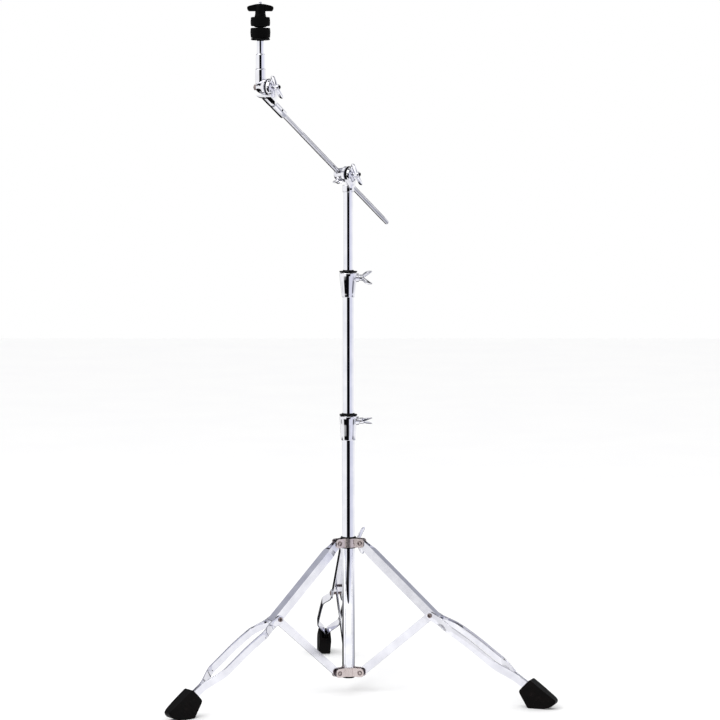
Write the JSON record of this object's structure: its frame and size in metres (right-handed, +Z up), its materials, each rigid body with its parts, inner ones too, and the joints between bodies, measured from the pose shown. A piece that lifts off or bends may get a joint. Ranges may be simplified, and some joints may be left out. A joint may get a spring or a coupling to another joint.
{
  "type": "boom cymbal stand",
  "caption": "Chrome boom stand for a suspended cymbal: folding double-strap tripod, telescoping column, ratchet tilters, sliding boom rod and felted seat.",
  "frame": {"origin": "centre of the bounding box at rest, at the level of the foot soles", "axes": "+Z up along the column; the rear leg is towards +Y, the boom leans towards -X and -Y, the clamp wing bolts face +X"},
  "size_m": [0.7694, 0.7204, 1.3784],
  "materials": {
    "tube_chrome": "mirror chrome plate on steel tube",
    "leg_chrome": "chrome plate on pressed steel",
    "cast_chrome": "chrome plate on die casting",
    "rod_chrome": "chrome plate, knurled",
    "bracket_steel": "nickel plate, satin",
    "rivet_steel": "nickel plate",
    "foot_rubber": "moulded, ribbed",
    "plug_rubber": "moulded",
    "black_plastic": "moulded, fine texture",
    "wing_nut_plastic": "moulded, satin",
    "felt": "dense wool felt"
  },
  "bodies": {
    "root": {"base_tube": "tube_chrome", "base_tube_plug": "plug_rubber", "lower_bracket_plate_right": "bracket_steel", "lower_bracket_plate_left": "bracket_steel", "lower_bracket_plate_rear": "bracket_steel", "lower_clamp_body": "cast_chrome", "lower_clamp_bushing": "black_plastic"},
    "leg_bracket": {"leg_bracket_bushing": "black_plastic", "upper_bracket_plate_right": "bracket_steel", "upper_bracket_plate_left": "bracket_steel", "upper_bracket_plate_rear": "bracket_steel", "upper_bracket_rivet_right": "rivet_steel", "upper_bracket_rivet_left": "rivet_steel", "upper_bracket_rivet_rear": "rivet_steel"},
    "leg_lock_bolt": {"leg_lock_bolt": "cast_chrome"},
    "leg_right": {"leg_channel_right": "leg_chrome", "leg_strap_right_a": "leg_chrome", "leg_strap_right_b": "leg_chrome", "knee_rivet_right": "rivet_steel", "foot_right": "foot_rubber"},
    "brace_right": {"brace_right": "leg_chrome"},
    "leg_left": {"leg_channel_left": "leg_chrome", "leg_strap_left_a": "leg_chrome", "leg_strap_left_b": "leg_chrome", "knee_rivet_left": "rivet_steel", "foot_left": "foot_rubber"},
    "brace_left": {"brace_left": "leg_chrome"},
    "leg_rear": {"leg_channel_rear": "leg_chrome", "leg_strap_rear_a": "leg_chrome", "leg_strap_rear_b": "leg_chrome", "knee_rivet_rear": "rivet_steel", "foot_rear": "foot_rubber"},
    "brace_rear": {"brace_rear": "leg_chrome"},
    "lower_clamp_bolt": {"lower_clamp_bolt": "cast_chrome"},
    "middle_tube": {"middle_tube": "tube_chrome", "upper_clamp_body": "cast_chrome", "upper_clamp_bushing": "black_plastic"},
    "upper_clamp_bolt": {"upper_clamp_bolt": "cast_chrome"},
    "upper_tube": {"upper_tube": "tube_chrome"},
    "boom_tilter": {"boom_tilter_base": "cast_chrome", "boom_tilter_set_screw": "rivet_steel"},
    "boom_tilter_bolt": {"boom_tilter_bolt": "cast_chrome"},
    "boom_arm": {"boom_tilter_arm": "cast_chrome"},
    "rod_clamp_bolt": {"rod_clamp_bolt": "cast_chrome"},
    "boom_rod": {"boom_rod": "rod_chrome", "top_tilter_base": "cast_chrome", "top_tilter_set_screw": "rivet_steel"},
    "top_tilter_bolt": {"top_tilter_bolt": "cast_chrome"},
    "seat_head": {"top_tilter_head": "cast_chrome", "top_tilter_nut": "rivet_steel", "cymbal_post": "tube_chrome", "cup_washer": "black_plastic", "cymbal_sleeve": "black_plastic", "lower_felt": "felt"},
    "upper_felt": {"upper_felt": "felt"},
    "wing_nut": {"wing_nut": "wing_nut_plastic"}
  },
  "joints": [
    {"name": "leg_fold", "type": "slide", "parent": "root", "child": "leg_bracket", "axis": [0, 0, 1], "range_m": [0, 0.136]},
    {"name": "leg_lock_turn", "type": "hinge", "parent": "leg_bracket", "child": "leg_lock_bolt", "pos_m": [-0.03008, -0.08095, 0.306], "axis": [0.788, 0.6157, 0], "continuous": true},
    {"name": "leg_right_hinge", "type": "hinge", "parent": "leg_bracket", "child": "leg_right", "pos_m": [-0.00411, -0.09144, 0.306], "axis": [0.3746, 0.9272, 0], "range_deg": [0, 42.3]},
    {"name": "brace_right_hinge", "type": "hinge", "parent": "leg_right", "child": "brace_right", "pos_m": [0.13682, -0.14838, 0.17], "axis": [-0.3746, -0.9272, 0], "range_deg": [0, 85.9]},
    {"name": "leg_left_hinge", "type": "hinge", "parent": "leg_bracket", "child": "leg_left", "pos_m": [-0.05214, -0.09819, 0.306], "axis": [0.6157, -0.788, 0], "range_deg": [0, 42.3]},
    {"name": "brace_left_hinge", "type": "hinge", "parent": "leg_left", "child": "brace_left", "pos_m": [-0.17192, -0.19177, 0.17], "axis": [-0.6157, 0.788, 0], "range_deg": [0, 85.9]},
    {"name": "leg_rear_hinge", "type": "hinge", "parent": "leg_bracket", "child": "leg_rear", "pos_m": [-0.03397, -0.05323, 0.306], "axis": [-0.9903, -0.1392, 0], "range_deg": [0, 42.3]},
    {"name": "brace_rear_hinge", "type": "hinge", "parent": "leg_rear", "child": "brace_rear", "pos_m": [-0.05513, 0.0973, 0.17], "axis": [0.9903, 0.1392, 0], "range_deg": [0, 85.9]},
    {"name": "lower_clamp_turn", "type": "hinge", "parent": "root", "child": "lower_clamp_bolt", "pos_m": [-0.03008, -0.08095, 0.5527], "axis": [1, 0, 0], "continuous": true},
    {"name": "middle_tube_slide", "type": "slide", "parent": "root", "child": "middle_tube", "axis": [0, 0, 1], "range_m": [-0.228, 0.2]},
    {"name": "upper_clamp_turn", "type": "hinge", "parent": "middle_tube", "child": "upper_clamp_bolt", "pos_m": [-0.03008, -0.08095, 0.8407], "axis": [1, 0, 0], "continuous": true},
    {"name": "upper_tube_slide", "type": "slide", "parent": "middle_tube", "child": "upper_tube", "axis": [0, 0, 1], "range_m": [-0.152, 0.17]},
    {"name": "boom_swivel", "type": "hinge", "parent": "upper_tube", "child": "boom_tilter", "pos_m": [-0.03008, -0.08095, 1.02], "axis": [0, 0, 1], "continuous": true},
    {"name": "boom_tilter_bolt_turn", "type": "hinge", "parent": "boom_tilter", "child": "boom_tilter_bolt", "pos_m": [-0.03008, -0.08095, 1.047], "axis": [0.829, -0.5592, 0], "continuous": true},
    {"name": "boom_tilt", "type": "hinge", "parent": "boom_tilter", "child": "boom_arm", "pos_m": [-0.03008, -0.08095, 1.047], "axis": [-0.829, 0.5592, 0], "range_deg": [-76, 50]},
    {"name": "rod_clamp_turn", "type": "hinge", "parent": "boom_arm", "child": "rod_clamp_bolt", "pos_m": [-0.04566, -0.07044, 1.047], "axis": [-0.288, -0.427, -0.8572], "continuous": true},
    {"name": "boom_rod_slide", "type": "slide", "parent": "boom_arm", "child": "boom_rod", "axis": [-0.4793, -0.7106, 0.515], "range_m": [-0.2, 0.16]},
    {"name": "top_tilter_bolt_turn", "type": "hinge", "parent": "boom_rod", "child": "top_tilter_bolt", "pos_m": [-0.18077, -0.30437, 1.21592], "axis": [0.829, -0.5592, 0], "continuous": true},
    {"name": "top_tilt", "type": "hinge", "parent": "boom_rod", "child": "seat_head", "pos_m": [-0.18077, -0.30437, 1.21592], "axis": [-0.829, 0.5592, 0], "range_deg": [-110, 60]},
    {"name": "upper_felt_lift", "type": "slide", "parent": "seat_head", "child": "upper_felt", "axis": [0, 0, 1], "range_m": [0, 0.02]},
    {"name": "wing_nut_turn", "type": "hinge", "parent": "upper_felt", "child": "wing_nut", "pos_m": [-0.19636, -0.29386, 1.21592], "axis": [0, 0, 1], "range_deg": [0, 7201]}
  ],
  "couplings": [
    {"joint": "leg_right_hinge", "follows": "leg_fold", "rad_per_m": 5.4106},
    {"joint": "brace_right_hinge", "follows": "leg_fold", "rad_per_m": 10.996},
    {"joint": "leg_left_hinge", "follows": "leg_fold", "rad_per_m": 5.4106},
    {"joint": "brace_left_hinge", "follows": "leg_fold", "rad_per_m": 10.996},
    {"joint": "leg_rear_hinge", "follows": "leg_fold", "rad_per_m": 5.4106},
    {"joint": "brace_rear_hinge", "follows": "leg_fold", "rad_per_m": 10.996},
    {"joint": "wing_nut_turn", "follows": "upper_felt_lift", "rad_per_m": 6283.2}
  ]
}
